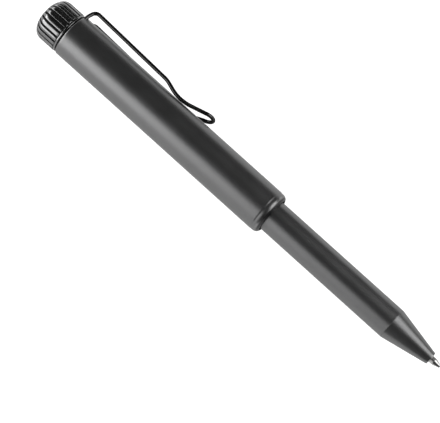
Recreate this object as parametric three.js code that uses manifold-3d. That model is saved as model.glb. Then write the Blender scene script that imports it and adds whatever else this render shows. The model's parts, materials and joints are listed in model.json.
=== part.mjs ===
// A reversible pocket pen, in its writing state.
// An outer barrel with a fluted end knob and a hairpin wire clip takes a slimmer pen unit, which
// pulls out, turns end for end and goes back in point first. Lengths are in millimetres.
// The pen lies along X with its point towards +X, and +Z is up. It rests on its barrel and clip.
// The origin is the middle of the knob's flat end.

import * as THREE from 'three';
import { mergeVertices } from 'three/addons/utils/BufferGeometryUtils.js';
import Module from 'manifold-3d';

const wasm = await Module();
wasm.setup();

// Outer barrel
const barrelWall = 1.7;
const barrelLength = 77.4;
const tailEdgeChamfer = 0.2;
const mouthTaperLength = 0.8;
const mouthTaperDrop = 0.09;
const mouthRoundLength = 1.44;
const mouthRimWidth = 0.27;
const mouthRecessDepth = 0.4;

// Knob, its collar and the screwed stem that holds them
const knobLength = 8.65;
const knobFaceRadius = 2.0;
const domeLength = 4.2;
const domePower = 2.35;
const fluteCount = 24;
const fluteCutterRadius = 0.31;
const fluteRise = 1.95;
const knobBaseChamfer = 0.25;
const collarInset = 0.15;
const collarThickness = 0.65;
const collarEdgeChamfer = 0.12;
const collarGap = 0.3;
const stemLength = 5.0;
const stemSealInset = 0.9;

// Hairpin clip of round spring wire. Its heights are measured from the side of the barrel.
const wireRadius = 0.55;
const wireSink = 0.05;
const notchClearance = 0.14;
const notchFloorGap = 0.28;
const footClearance = 0.25;
const neckClearance = 0.1;
const footWrapDegrees = 62;
const clipCornerRise = 2.0;
const clipCornerLean = 1.0;
const clipCornerRadius = 1.7;
const clipShankRadius = 4.0;
const clipRunLength = 28.9;
const clipRunEndRise = 1.45;
const clipDipLength = 6.0;
const clipDipBendRadius = 8.0;
const clipContactRadius = 9.0;
const clipContactClearance = 0.1;
const clipFlareLength = 7.7;
const clipFlareRise = 2.3;
const clipLoopRise = 0.35;
const clipLoopRadius = 2.75;
const clipSwingRoom = 1.25;

// Pen unit
const unitRadius = 4.8;
const unitWall = 1.1;
const exposedLength = 45.1;
const bandRecess = 0.5;
const bandWidth = 2.6;
const plugHeadLength = 2.95;
const plugTaper = 0.8;
const plugBulge = 0.1;
const plugStemLength = 4.0;
const coneLength = 14.4;
const coneNoseWall = 0.78;
const coneNoseChamfer = 0.1;
const coneStemLength = 6.0;
const coneSealInset = 0.7;

// Refill
const refillLength = 67.0;
const refillRadius = 1.175;
const refillWall = 0.325;
const pointRadius = 1.1;
const pointReach = 3.5;
const pointCylinderLength = 1.5;
const pointShankLength = 4.5;
const pointBaseInset = 1.7;
const pointLipWall = 0.08;
const inkChannelRadius = 0.25;
const ballRadius = 0.4;
const ballShow = 0.24;
const bushFlangeLength = 3.2;
const bushPocketDepth = 4.6;
const bushBossLength = 1.2;
const bushBossRadius = 1.5;
const springWireRadius = 0.25;
const springTurns = 4;
const springLength = 5.05;

// Seals of round section
const gripSealSection = 0.4;
const stemSealSection = 0.3;
const coneSealSection = 0.28;
const boreSealDepth = 12.4;

// Clearances between pieces that run, screw or rest on each other
const runningGap = 0.15;
const threadGap = 0.1;
const sealGap = 0.05;
const sealGrooveGap = 0.1;
const seatGap = 0.1;

// Facets
const fineSides = 48;
const smallSides = 24;
const wireSides = 8;
const fluteSides = 6;
const springSides = 5;

// Radii that follow from the pen unit, which the barrel and the knob fit round
const boreRadius = unitRadius + runningGap;
const mouthRecessRadius = boreRadius + mouthRecessDepth;
const mouthRimRadius = mouthRecessRadius + mouthRimWidth;
const barrelRadius = boreRadius + barrelWall;
const knobRadius = barrelRadius;
const collarRadius = barrelRadius - collarInset;
const fluteTopRadius = knobRadius - fluteRise;
const footRadius = boreRadius - footClearance - wireRadius;
const neckRadius = footRadius - wireRadius - neckClearance;
const stemRadius = boreRadius - threadGap;
const bandRadius = mouthRecessRadius - runningGap;
const unitBoreRadius = unitRadius - unitWall;
const unitStemRadius = unitBoreRadius - threadGap;
const plugFaceRadius = unitRadius - plugTaper;
const refillBoreRadius = refillRadius - refillWall;
const pointHoleRadius = pointRadius + sealGap;
const coneNoseRadius = pointHoleRadius + coneNoseWall;

// Places along the pen, from the knob's end to the writing ball
const collarStart = knobLength;
const barrelStart = collarStart + collarThickness + collarGap;
const mouth = barrelStart + barrelLength;
const wireStart = barrelStart + wireRadius + wireSink;
const clipRunEnd = wireStart + clipRunLength;
const clipContact = clipRunEnd + clipDipLength;
const clipFlareEnd = clipContact + clipFlareLength;
const stemStart = wireStart + wireRadius + clipSwingRoom;
const stemEnd = stemStart + stemLength;
const bandFront = mouth - bandRecess;
const bandRear = bandFront - bandWidth;
const coneStart = mouth + exposedLength;
const noseEnd = coneStart + coneLength;
const penEnd = noseEnd + pointReach;

// Places behind the refill, which the bush, spring and plug follow
const bushPocketFloor = penEnd - refillLength - seatGap;
const bushFront = bushPocketFloor + bushPocketDepth;
const bushFlange = bushPocketFloor - bushFlangeLength;
const springFront = bushFlange - seatGap;
const springRear = springFront - springLength;
const plugStemEnd = springRear - seatGap;
const plugSeam = plugStemEnd - plugStemLength;
const tailEnd = plugSeam - plugHeadLength;

// Colours and finishes
const satinBlack = { color: 0x2b2b2c, roughness: 0.38, metalness: 0.85 };
const glossBlack = { color: 0x0d0d0e, roughness: 0.15, metalness: 0.6 };
const nickel = { color: 0xc9c7c2, roughness: 0.2, metalness: 1.0 };
const brightSteel = { color: 0xa9abae, roughness: 0.25, metalness: 1.0 };
const carbide = { color: 0x8b8d90, roughness: 0.15, metalness: 1.0 };
const blackRubber = { color: 0x101010, roughness: 0.7, metalness: 0.0 };
const whiteAcetal = { color: 0xe6e4de, roughness: 0.5, metalness: 0.0 };

// Turns a closed geometry into a solid that can be joined and cut.
function toSolid(geometry) {
  const bare = new THREE.BufferGeometry();
  bare.setAttribute('position', geometry.getAttribute('position').clone());
  bare.setIndex(geometry.getIndex());
  const merged = mergeVertices(bare, 1e-5);
  const vertProperties = new Float32Array(merged.getAttribute('position').array);
  const triVerts = new Uint32Array(merged.getIndex().array);
  return new wasm.Manifold(new wasm.Mesh({ numProp: 3, vertProperties, triVerts }));
}

// Gives a solid back as a geometry.
function toGeometry(body) {
  const mesh = body.getMesh();
  const geometry = new THREE.BufferGeometry();
  geometry.setAttribute('position', new THREE.BufferAttribute(new Float32Array(mesh.vertProperties), 3));
  geometry.setIndex(new THREE.BufferAttribute(new Uint32Array(mesh.triVerts), 1));
  return geometry;
}

// Turns a profile of [place along the pen, radius] points about the pen's axis.
// The profile runs from the +X end to the -X end along its outside, so faces point out.
// Half a facet of turn lays a flat facet on the table.
function revolve(profile, sides) {
  const points = profile.map(([along, radius]) => new THREE.Vector2(radius, along)).reverse();
  const geometry = new THREE.LatheGeometry(points, sides, Math.PI / sides);
  return geometry.rotateZ(-Math.PI / 2);
}

// A closed ring of round section about the pen's axis.
function sealRing(along, centreRadius, section, sides) {
  const steps = 6;
  const profile = [];
  for (let i = 0; i <= steps; i += 1) {
    const turn = (2 * Math.PI * i) / steps;
    profile.push([along - section * Math.sin(turn), centreRadius + section * Math.cos(turn)]);
  }
  return revolve(profile, sides);
}

// A path whose steps fall on its own points, so that tight bends get more of them.
class PointPath extends THREE.Curve {
  constructor(points) {
    super();
    this.points = points;
  }

  getPoint(t, target = new THREE.Vector3()) {
    const last = this.points.length - 1;
    const index = Math.min(Math.floor(t * last + 1e-9), last - 1);
    return target.lerpVectors(this.points[index], this.points[index + 1], t * last - index);
  }

  getTangent(t, target = new THREE.Vector3()) {
    const last = this.points.length - 1;
    const index = Math.round(t * last);
    const before = this.points[Math.max(index - 1, 0)];
    const here = this.points[index];
    const after = this.points[Math.min(index + 1, last)];
    const arriving = here.clone().sub(before).normalize();
    const leaving = after.clone().sub(here).normalize();
    return target.copy(arriving).add(leaving).normalize();
  }

  getUtoTmapping(u) {
    return u;
  }
}

// A round tube along points.
function tube(points, radius, sides) {
  const section = new THREE.Shape();
  for (let i = 0; i < sides; i += 1) {
    const turn = (2 * Math.PI * i) / sides;
    const x = radius * Math.cos(turn);
    const y = radius * Math.sin(turn);
    if (i === 0) section.moveTo(x, y);
    else section.lineTo(x, y);
  }
  const steps = points.length - 1;
  return new THREE.ExtrudeGeometry(section, { steps, extrudePath: new PointPath(points) });
}

// Rounds the corners of a path. Each corner is { at, radius, steps }, and an end needs no radius.
function roundedPath(corners) {
  const points = [];
  corners.forEach(({ at, radius, steps }, i) => {
    if (!radius) {
      points.push(at);
      return;
    }
    const back = corners[i - 1].at.clone().sub(at).normalize();
    const onward = corners[i + 1].at.clone().sub(at).normalize();
    const halfAngle = back.angleTo(onward) / 2;
    const inward = back.clone().add(onward).normalize();
    const centre = at.clone().addScaledVector(inward, radius / Math.sin(halfAngle));
    const start = at.clone().addScaledVector(back, radius / Math.tan(halfAngle)).sub(centre);
    const turnAxis = new THREE.Vector3().crossVectors(onward, back).normalize();
    const sweep = Math.PI - 2 * halfAngle;
    for (let k = 0; k <= steps; k += 1) {
      points.push(start.clone().applyAxisAngle(turnAxis, (sweep * k) / steps).add(centre));
    }
  });
  return points;
}

// Half the distance between the clip's two wires at a place along the pen.
// They leave the neck parallel and close up evenly towards the loop.
function halfSpread(along) {
  const share = (along - wireStart) / (clipFlareEnd - wireStart);
  return footRadius + (clipLoopRadius - footRadius) * Math.min(Math.max(share, 0), 1);
}

// The height above the axis at which the wires just clear the barrel.
function contactHeight() {
  const reach = barrelRadius + wireRadius + clipContactClearance;
  const spread = halfSpread(clipContact);
  return Math.sqrt(reach * reach - spread * spread);
}

// One side of the clip, from its foot round the neck to the start of its end loop.
// X runs along the pen, Y is the height above its axis and Z the side.
function clipSide(side) {
  const place = (along, rise) => {
    return new THREE.Vector3(along, barrelRadius + rise, side * halfSpread(along));
  };
  const foot = [];
  const footSteps = 6;
  for (let i = 0; i < footSteps; i += 1) {
    const turn = THREE.MathUtils.degToRad(footWrapDegrees * (1 - i / footSteps));
    const height = -footRadius * Math.sin(turn);
    foot.push(new THREE.Vector3(wireStart, height, side * footRadius * Math.cos(turn)));
  }
  const shank = new THREE.Vector3(wireStart, 0, side * footRadius);
  const leaning = new THREE.Vector3(wireStart, barrelRadius - wireRadius, side * footRadius);
  const run = roundedPath([
    { at: shank },
    { at: leaning, radius: clipShankRadius, steps: 2 },
    { at: place(wireStart + clipCornerLean, clipCornerRise), radius: clipCornerRadius, steps: 6 },
    { at: place(clipRunEnd, clipRunEndRise), radius: clipDipBendRadius, steps: 3 },
    { at: place(clipContact, contactRise()), radius: clipContactRadius, steps: 6 },
    { at: place(clipFlareEnd, clipFlareRise) },
  ]);
  return foot.concat(run);
}

// The corner of the path at the contact lies lower than the rounded wire, by what the bend takes.
function contactRise() {
  const touch = contactHeight() - barrelRadius;
  const fall = Math.atan2(clipRunEndRise - touch, clipDipLength);
  const climb = Math.atan2(clipFlareRise - touch, clipFlareLength);
  const halfTurn = (fall + climb) / 2;
  return touch - clipContactRadius * (1 / Math.cos(halfTurn) - 1);
}

// The centre line of the whole clip: one side, the end loop and the other side back.
function clipLine() {
  const near = clipSide(1);
  const far = clipSide(-1).reverse();
  const loopStart = near[near.length - 1];
  const loop = [];
  const loopSteps = 10;
  for (let i = 1; i < loopSteps; i += 1) {
    const turn = (Math.PI * i) / loopSteps;
    const along = loopStart.x + clipLoopRadius * Math.sin(turn);
    const height = loopStart.y + clipLoopRise * Math.sin(turn);
    loop.push(new THREE.Vector3(along, height, clipLoopRadius * Math.cos(turn)));
  }
  return near.concat(loop, far);
}

// How far the clip is turned down from level when the pen lies on its barrel and clip.
function lieAngle() {
  const line = clipLine();
  const reachBelow = (angle) => Math.max(
    ...line.map((p) => p.y * Math.sin(angle) - p.z * Math.cos(angle)),
  ) + wireRadius;
  let low = 0;
  let high = Math.PI / 4;
  for (let i = 0; i < 40; i += 1) {
    const middle = (low + high) / 2;
    if (reachBelow(middle) > barrelRadius) high = middle;
    else low = middle;
  }
  return low;
}

// The dome's place along the pen at a radius, before its flat end is cut.
function domeDepth(radius) {
  const share = Math.pow(radius / knobRadius, domePower);
  return domeLength * (1 - Math.pow(Math.max(1 - share, 0), 1 / domePower));
}

// The dome's outline from one radius out to the side of the knob.
function domeOutline(fromRadius, steps) {
  const outline = [];
  const cut = domeDepth(knobFaceRadius);
  const from = Math.asin(Math.pow(fromRadius / knobRadius, domePower / 2));
  for (let i = 0; i <= steps; i += 1) {
    const turn = from + ((Math.PI / 2 - from) * i) / steps;
    const radius = knobRadius * Math.pow(Math.sin(turn), 2 / domePower);
    outline.push([domeDepth(radius) - cut, radius]);
  }
  return outline;
}

// The groove cut into one turned outline, listed from its +X edge to its -X edge.
function grooveOutline(centre, halfWidth, floorRadius, edgeRadius) {
  return [
    [centre + halfWidth, edgeRadius],
    [centre + halfWidth, floorRadius],
    [centre - halfWidth, floorRadius],
    [centre - halfWidth, edgeRadius],
  ];
}

// Outer barrel: a turned tube with a rounded mouth, a recess for the unit's band, a seal groove
// deep in the bore, and two notches across its tail end for the clip's wires.
function outerBarrel() {
  const taperStart = mouth - mouthRoundLength - mouthTaperLength;
  const roundTop = barrelRadius - mouthTaperDrop;
  const rounding = [];
  const roundingSteps = 4;
  for (let i = 0; i <= roundingSteps; i += 1) {
    const turn = (Math.PI / 2) * (i / roundingSteps);
    const along = mouth - mouthRoundLength + mouthRoundLength * Math.cos(turn);
    rounding.push([along, mouthRimRadius + (roundTop - mouthRimRadius) * Math.sin(turn)]);
  }
  const sealGrooveHalf = gripSealSection + sealGrooveGap;
  const sealFloor = boreSealCentre() + gripSealSection + sealGap;
  const bore = grooveOutline(mouth - boreSealDepth, sealGrooveHalf, sealFloor, boreRadius).reverse();
  const profile = [
    ...rounding,
    [taperStart, barrelRadius],
    [barrelStart + tailEdgeChamfer, barrelRadius],
    [barrelStart, barrelRadius - tailEdgeChamfer],
    [barrelStart, boreRadius],
    ...bore,
    [bandRear - seatGap, boreRadius],
    [bandRear - seatGap, mouthRecessRadius],
    [mouth, mouthRecessRadius],
    rounding[0],
  ];
  return toGeometry(toSolid(revolve(profile, fineSides)).subtract(notches()));
}

// The two notches, one for each wire, open at the barrel's end and on the clip's side.
function notches() {
  const halfWidth = wireRadius + notchClearance;
  const floor = wireStart + wireRadius + notchFloorGap;
  const outside = barrelRadius + wireRadius;
  const depth = 2 * (floor - barrelStart);
  const cut = (side) => {
    const box = new THREE.BoxGeometry(depth, outside, 2 * halfWidth);
    box.translate(barrelStart, outside / 2, side * footRadius);
    box.rotateX(-lieAngle());
    return toSolid(box);
  };
  return cut(1).add(cut(-1));
}

// The bore's seal stands proud of the bore and just clears the pen unit.
function boreSealCentre() {
  return unitRadius + sealGap + gripSealSection;
}

// Knob: a domed, fluted head with a neck for the clip's feet and a stem that screws into the barrel.
function endKnob() {
  const stemSealFloor = stemRadius - 2 * stemSealSection;
  const profile = [
    [stemEnd, 0],
    [stemEnd, stemRadius - threadGap],
    [stemEnd - threadGap, stemRadius],
    ...grooveOutline(stemSealAt(), stemSealSection + sealGrooveGap, stemSealFloor, stemRadius),
    [stemStart, stemRadius],
    [stemStart, neckRadius],
    [knobLength, neckRadius],
    [knobLength, knobRadius - knobBaseChamfer],
    [knobLength - knobBaseChamfer, knobRadius],
    ...domeOutline(knobFaceRadius, 6).reverse(),
    [0, 0],
  ];
  let cuts = null;
  const flute = fluteCut();
  for (let i = 0; i < fluteCount; i += 1) {
    const copy = toSolid(flute.clone().rotateX((2 * Math.PI * i) / fluteCount));
    cuts = cuts ? cuts.add(copy) : copy;
  }
  return toGeometry(toSolid(revolve(profile, fineSides)).subtract(cuts));
}

function stemSealAt() {
  return stemStart + stemSealInset;
}

// One flute's cutter follows the dome's outline and then the side of the knob to its base.
function fluteCut() {
  const outline = domeOutline(fluteTopRadius, 3);
  outline.push([collarStart + fluteCutterRadius, knobRadius]);
  const points = outline.map(([along, radius]) => new THREE.Vector3(along, radius, 0));
  const lead = points[0].clone().sub(points[1]).normalize().multiplyScalar(fluteCutterRadius);
  lead.y += fluteCutterRadius;
  points.unshift(points[0].clone().add(lead));
  return tube(points, fluteCutterRadius, fluteSides);
}

// Collar: a thin ring between knob and barrel that holds the wires down in their notches.
function clipCollar() {
  const inner = neckRadius + runningGap;
  const end = collarStart + collarThickness;
  return revolve([
    [end, inner],
    [end, collarRadius - collarEdgeChamfer],
    [end - collarEdgeChamfer, collarRadius],
    [collarStart + collarEdgeChamfer, collarRadius],
    [collarStart, collarRadius - collarEdgeChamfer],
    [collarStart, inner],
    [end, inner],
  ], fineSides);
}

// Inner barrel: the pen unit's tube, with a raised band that stops in the mouth's recess.
function innerBarrel() {
  const grooveFloor = gripSealCentre() - gripSealSection - sealGap;
  const grooveHalf = gripSealSection + sealGrooveGap;
  return revolve([
    [coneStart, unitBoreRadius],
    [coneStart, unitRadius],
    [bandFront, unitRadius],
    [bandFront, bandRadius],
    ...grooveOutline((bandFront + bandRear) / 2, grooveHalf, grooveFloor, bandRadius),
    [bandRear, bandRadius],
    [bandRear, unitRadius],
    [plugSeam, unitRadius],
    [plugSeam, unitBoreRadius],
    [coneStart, unitBoreRadius],
  ], fineSides);
}

function gripSealCentre() {
  return mouthRecessRadius - sealGap - gripSealSection;
}

// Rear plug: the pen unit's tapered tail with its pale flat end.
function rearPlug() {
  const middle = (unitRadius + plugFaceRadius) / 2 + plugBulge;
  return revolve([
    [plugStemEnd, 0],
    [plugStemEnd, unitStemRadius],
    [plugSeam, unitStemRadius],
    [plugSeam, unitRadius],
    [(plugSeam + tailEnd) / 2, middle],
    [tailEnd, plugFaceRadius],
    [tailEnd, 0],
  ], fineSides);
}

// Nose cone: screws into the inner barrel and guides the refill.
function noseCone() {
  const stemEndAt = coneStart - coneStemLength;
  const sealFloor = unitStemRadius - 2 * coneSealSection;
  const refillHole = refillRadius + threadGap;
  const step = noseEnd - pointBaseInset + seatGap;
  return revolve([
    [noseEnd, pointHoleRadius],
    [noseEnd, coneNoseRadius - coneNoseChamfer],
    [noseEnd - coneNoseChamfer, coneNoseRadius],
    [coneStart, unitRadius],
    [coneStart, unitStemRadius],
    ...grooveOutline(coneSealAt(), coneSealSection + sealGrooveGap, sealFloor, unitStemRadius),
    [stemEndAt, unitStemRadius],
    [stemEndAt, refillHole],
    [step, refillHole],
    [step, pointHoleRadius],
    [noseEnd, pointHoleRadius],
  ], fineSides);
}

function coneSealAt() {
  return coneStart - coneSealInset;
}

// Refill tube: thin, open at its rear end, with the point pressed into its front.
function refillTube() {
  const front = noseEnd - pointBaseInset;
  const rear = penEnd - refillLength;
  return revolve([
    [front, refillBoreRadius],
    [front, refillRadius],
    [rear, refillRadius],
    [rear, refillBoreRadius],
    [front, refillBoreRadius],
  ], smallSides);
}

// Writing point: a shank in the tube, a short cylinder and a cone with the ball's socket.
function refillPoint() {
  const base = noseEnd - pointBaseInset;
  const ballCentre = penEnd - ballRadius;
  const socketRadius = ballRadius + sealGap;
  const lip = penEnd - ballShow;
  const lipReach = Math.sqrt(socketRadius * socketRadius - (lip - ballCentre) ** 2);
  const socket = [];
  const socketSteps = 5;
  const lipTurn = Math.atan2(lipReach, lip - ballCentre);
  const channelTurn = Math.PI - Math.asin(inkChannelRadius / socketRadius);
  for (let i = 0; i <= socketSteps; i += 1) {
    const turn = channelTurn + ((lipTurn - channelTurn) * i) / socketSteps;
    socket.push([ballCentre + socketRadius * Math.cos(turn), socketRadius * Math.sin(turn)]);
  }
  return revolve([
    [lip, lipReach],
    [lip, lipReach + pointLipWall],
    [noseEnd + pointCylinderLength, pointRadius],
    [base, pointRadius],
    [base, refillBoreRadius - sealGap],
    [base - pointShankLength, refillBoreRadius - sealGap],
    [base - pointShankLength, inkChannelRadius],
    ...socket,
  ], smallSides);
}

// Writing ball.
function writingBall() {
  return new THREE.SphereGeometry(ballRadius, 16, 12).translate(penEnd - ballRadius, 0, 0);
}

// Refill bush: centres the refill's rear end in the tube and carries the spring's thrust.
function refillBush() {
  const pocketRadius = refillRadius + threadGap;
  const flangeRadius = unitBoreRadius - runningGap;
  return revolve([
    [bushPocketFloor, 0],
    [bushPocketFloor, pocketRadius],
    [bushFront, pocketRadius],
    [bushFront, flangeRadius],
    [bushFlange, flangeRadius],
    [bushFlange, bushBossRadius],
    [bushFlange - bushBossLength, bushBossRadius],
    [bushFlange - bushBossLength, 0],
  ], smallSides);
}

// Refill spring: a compression spring between the rear plug and the bush's flange.
function refillSpring() {
  const coilRadius = (bushBossRadius + unitBoreRadius - runningGap) / 2;
  const start = springRear + springWireRadius;
  const end = springFront - springWireRadius;
  const stepsPerTurn = 8;
  const steps = springTurns * stepsPerTurn;
  const points = [];
  for (let i = 0; i <= steps; i += 1) {
    const turn = (2 * Math.PI * i) / stepsPerTurn;
    const along = start + ((end - start) * i) / steps;
    points.push(new THREE.Vector3(along, coilRadius * Math.cos(turn), coilRadius * Math.sin(turn)));
  }
  return tube(points, springWireRadius, springSides);
}

function piece(name, geometry, finish) {
  const mesh = new THREE.Mesh(geometry, new THREE.MeshStandardMaterial(finish));
  mesh.name = name;
  return mesh;
}

const pen = new THREE.Group();
pen.add(piece('outer_barrel', outerBarrel(), satinBlack));
const boreSeal = sealRing(mouth - boreSealDepth, boreSealCentre(), gripSealSection, fineSides);
pen.add(piece('bore_o_ring', boreSeal, blackRubber));

const clipGroup = new THREE.Group();
clipGroup.rotation.x = -lieAngle();
clipGroup.add(piece('clip_wire', tube(clipLine(), wireRadius, wireSides), glossBlack));
pen.add(clipGroup);
pen.add(piece('clip_collar', clipCollar(), glossBlack));
pen.add(piece('end_knob', endKnob(), glossBlack));
const stemSealCentre = stemRadius - stemSealSection + sealGap;
pen.add(piece('knob_o_ring', sealRing(stemSealAt(), stemSealCentre, stemSealSection, fineSides), blackRubber));

pen.add(piece('inner_barrel', innerBarrel(), satinBlack));
const gripSealAt = (bandFront + bandRear) / 2;
pen.add(piece('grip_o_ring', sealRing(gripSealAt, gripSealCentre(), gripSealSection, fineSides), blackRubber));
pen.add(piece('rear_plug', rearPlug(), satinBlack));
pen.add(piece('nose_cone', noseCone(), satinBlack));
const coneSealCentre = unitStemRadius - coneSealSection + sealGap;
pen.add(piece('nose_o_ring', sealRing(coneSealAt(), coneSealCentre, coneSealSection, fineSides), blackRubber));

pen.add(piece('refill_tube', refillTube(), brightSteel));
pen.add(piece('refill_point', refillPoint(), nickel));
pen.add(piece('writing_ball', writingBall(), carbide));
pen.add(piece('refill_bush', refillBush(), whiteAcetal));
pen.add(piece('refill_spring', refillSpring(), brightSteel));

export default pen;
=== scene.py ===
"""A reversible metal pocket pen in its writing state, with its finishes, light and camera.

Lengths are in metres. The pen lies along X with its point towards +X, and +Z is up. It rests on its
barrel and its clip, and the origin is the middle of the knob's flat end.
"""

import json
import math

import bmesh
import bpy
from mathutils import Matrix, Vector


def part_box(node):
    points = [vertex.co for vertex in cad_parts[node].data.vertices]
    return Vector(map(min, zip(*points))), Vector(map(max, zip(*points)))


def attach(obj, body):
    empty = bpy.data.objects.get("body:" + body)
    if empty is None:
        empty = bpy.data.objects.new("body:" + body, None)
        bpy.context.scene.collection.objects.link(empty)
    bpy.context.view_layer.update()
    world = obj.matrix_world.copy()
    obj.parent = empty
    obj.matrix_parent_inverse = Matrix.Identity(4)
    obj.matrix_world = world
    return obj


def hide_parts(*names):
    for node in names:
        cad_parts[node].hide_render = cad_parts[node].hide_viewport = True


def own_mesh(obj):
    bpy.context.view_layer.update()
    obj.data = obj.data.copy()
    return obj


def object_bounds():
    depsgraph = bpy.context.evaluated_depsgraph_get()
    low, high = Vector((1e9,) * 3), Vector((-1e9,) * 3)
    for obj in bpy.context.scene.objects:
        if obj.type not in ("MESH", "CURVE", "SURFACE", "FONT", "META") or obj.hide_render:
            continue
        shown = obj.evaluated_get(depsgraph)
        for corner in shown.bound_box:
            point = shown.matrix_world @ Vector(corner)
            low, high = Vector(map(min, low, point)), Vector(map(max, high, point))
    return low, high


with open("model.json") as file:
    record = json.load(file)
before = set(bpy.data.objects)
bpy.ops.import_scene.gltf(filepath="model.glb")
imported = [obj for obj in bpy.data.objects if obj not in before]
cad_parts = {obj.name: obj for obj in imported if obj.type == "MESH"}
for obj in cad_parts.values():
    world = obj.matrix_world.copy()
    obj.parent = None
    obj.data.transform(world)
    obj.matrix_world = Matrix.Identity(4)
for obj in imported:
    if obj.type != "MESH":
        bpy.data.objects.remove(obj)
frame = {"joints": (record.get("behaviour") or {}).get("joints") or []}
cad_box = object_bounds()

# Outer barrel
# A tube turned from metal bar, bead-blasted and coated satin black. Its mouth has a shallow groove
# and a rounded lip, and two notches milled across its tail take the wires of the clip.

# The sides of the turned solids, and the highest corner of their seals' six-sided section
CAD_SIDES = 48
SMALL_CAD_SIDES = 24
SEAL_CAD_CORNER = math.radians(60)

TURNED_SIDES = 192
ARC_STEP = math.radians(11)
ARC_MARGIN = 0.5
SMOOTH_ANGLE = math.radians(34)
RUNNING_GAP = 0.00015
SEAT_GAP = 0.0001
SEAL_GAP = 0.00005
GROOVE_GAP = 0.0001
BREAK_EDGE = 0.00005
LIP_STEPS = 14
TAIL_ROUNDING = 0.0005
MOUTH_ROUND_LENGTH = 0.0016
MOUTH_ROUND_TURN = math.radians(75)
MOUTH_RIM = 0.0002
LIP_DROP = 0.00007
LIP_START = 0.00178
GROOVE_DROP = 0.000065
GROOVE_DEEPEST = 0.00212
GROOVE_START = 0.00246
GROOVE_ROUNDING = 0.0009
BAND_WIDTH = 0.0026
NOTCH_CLEARANCE = 0.00011
NOTCH_FLOOR_GAP = 0.00028
NOTCH_STEPS = 16
WIRE_RADIUS = 0.00058
FOOT_CLEARANCE = 0.00025
WIRE_SINK = 0.00002

# The satin finish. The lip's rub and painted highlight is a place and a width, and the painted
# shade over the lip's front and the mouth's recess a start and an end. Each place is a distance
# back from the mouth. The tail's rub is a width.
SATIN_COATING = 0.17
COATING_WARMTH = -0.004
SATIN_LEAST = 0.93
SATIN_CLOUDS = 0.1
SATIN_SPECKS = 0.05
SATIN_ROUGHNESS = 0.32
ROUGH_SPREAD = 0.05
CLOUD_SIZE = 0.006
GRAIN_SIZE = 0.00016
GRAIN_HEIGHT = 0.000004
LIP_RUB_AND_HIGHLIGHT = (0.001, 0.0004)
TAIL_RUB = 0.0003
RUB_AND_HIGHLIGHT_CORE = 0.3
RUB_AND_HIGHLIGHT_PATCH = 0.0012
RUB_AND_HIGHLIGHT_PATCHINESS = (0.35, 0.7)
RUB_AND_HIGHLIGHT_PALENESS = 0.07
RUB_POLISH = 0.08
LIP_PAINTED_SHADE = (0.00072, 0.00045)
PAINTED_SHADE_DEPTH = 0.7


class Signal:
    """What a node gives. Arithmetic on it adds the Math nodes that work it out."""

    def __init__(self, graph, socket):
        self.graph = graph
        self.socket = socket

    def maths(self, operation, first, second):
        return self.graph.node("ShaderNodeMath", {"operation": operation}, [first, second])

    def __add__(self, other):
        return self.maths("ADD", self, other)

    def __sub__(self, other):
        return self.maths("SUBTRACT", self, other)

    def __rsub__(self, other):
        return self.maths("SUBTRACT", other, self)

    def __mul__(self, other):
        return self.maths("MULTIPLY", self, other)

    def __rtruediv__(self, other):
        return self.maths("DIVIDE", other, self)

    def __pow__(self, other):
        return self.maths("POWER", self, other)

    __radd__ = __add__
    __rmul__ = __mul__


class Graph:
    """A node tree of any kind. All its nodes come from its node method."""

    def __init__(self, tree):
        self.tree = tree

    def node(self, kind, settings=None, values=(), output=0):
        """Adds a node: its settings first, then the values or links of its sockets."""
        made = self.tree.nodes.new(kind)
        for name, value in (settings or {}).items():
            setattr(made, name, value)
        self.feed(made, values if isinstance(values, dict) else dict(enumerate(values)))
        return Signal(self, made.outputs[output]) if made.outputs else made

    def feed(self, node, values):
        for key, value in values.items():
            if isinstance(value, Signal):
                self.tree.links.new(value.socket, node.inputs[key])
            else:
                node.inputs[key].default_value = value


class Finish(Graph):
    """A surface finish: nodes that feed one Principled shader."""

    def __init__(self, name, uniform):
        self.material = bpy.data.materials.new(name)
        self.material.use_nodes = True
        super().__init__(self.material.node_tree)
        self.shader = self.tree.nodes["Principled BSDF"]
        self.feed(self.shader, uniform)
        self.place = self.node("ShaderNodeTexCoord", output="Object")
        self.along = self.node("ShaderNodeSeparateXYZ", {}, [self.place], "X")

    def done(self, varied):
        """The finished material, once its shader has these varied inputs."""
        self.feed(self.shader, varied)
        return self.material

    def reach(self):
        """The distance from the pen's axis."""
        flat = self.node("ShaderNodeCombineXYZ", {}, [0.0, 1.0, 1.0])
        out = self.node("ShaderNodeVectorMath", {"operation": "MULTIPLY"}, [self.place, flat])
        return self.node("ShaderNodeVectorMath", {"operation": "LENGTH"}, [out], "Value")

    def noise(self, size, detail=2.0):
        """Soft noise from 0 to 1 whose patches are about this wide."""
        values = {"Vector": self.place, "Scale": 1 / size, "Detail": detail}
        return self.node("ShaderNodeTexNoise", {}, values)

    def lines(self, value, spacing):
        """Fine lines from 0 to 1, about this far apart, where the value changes."""
        values = {"W": value, "Scale": 1 / spacing, "Detail": 2.0}
        return self.node("ShaderNodeTexNoise", {"noise_dimensions": "1D"}, values)

    def between(self, value, low, high):
        """Climbs smoothly from 0 to 1 as the value goes from low to high."""
        settings = {"interpolation_type": "SMOOTHSTEP"}
        return self.node("ShaderNodeMapRange", settings, [value, low, high, 0.0, 1.0])

    def shade(self, level, warmth=0.0):
        """A near-neutral colour of this level. A little warmth adds red and takes blue away."""
        scaled = [level * (1 + warmth), level, level * (1 - warmth)]
        return self.node("ShaderNodeCombineColor", {}, scaled)

    def grain(self, size, height):
        """Fine relief of this width and height."""
        values = {"Strength": 1.0, "Distance": height, "Height": self.noise(size, detail=1.0)}
        return self.node("ShaderNodeBump", {}, values)


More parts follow.
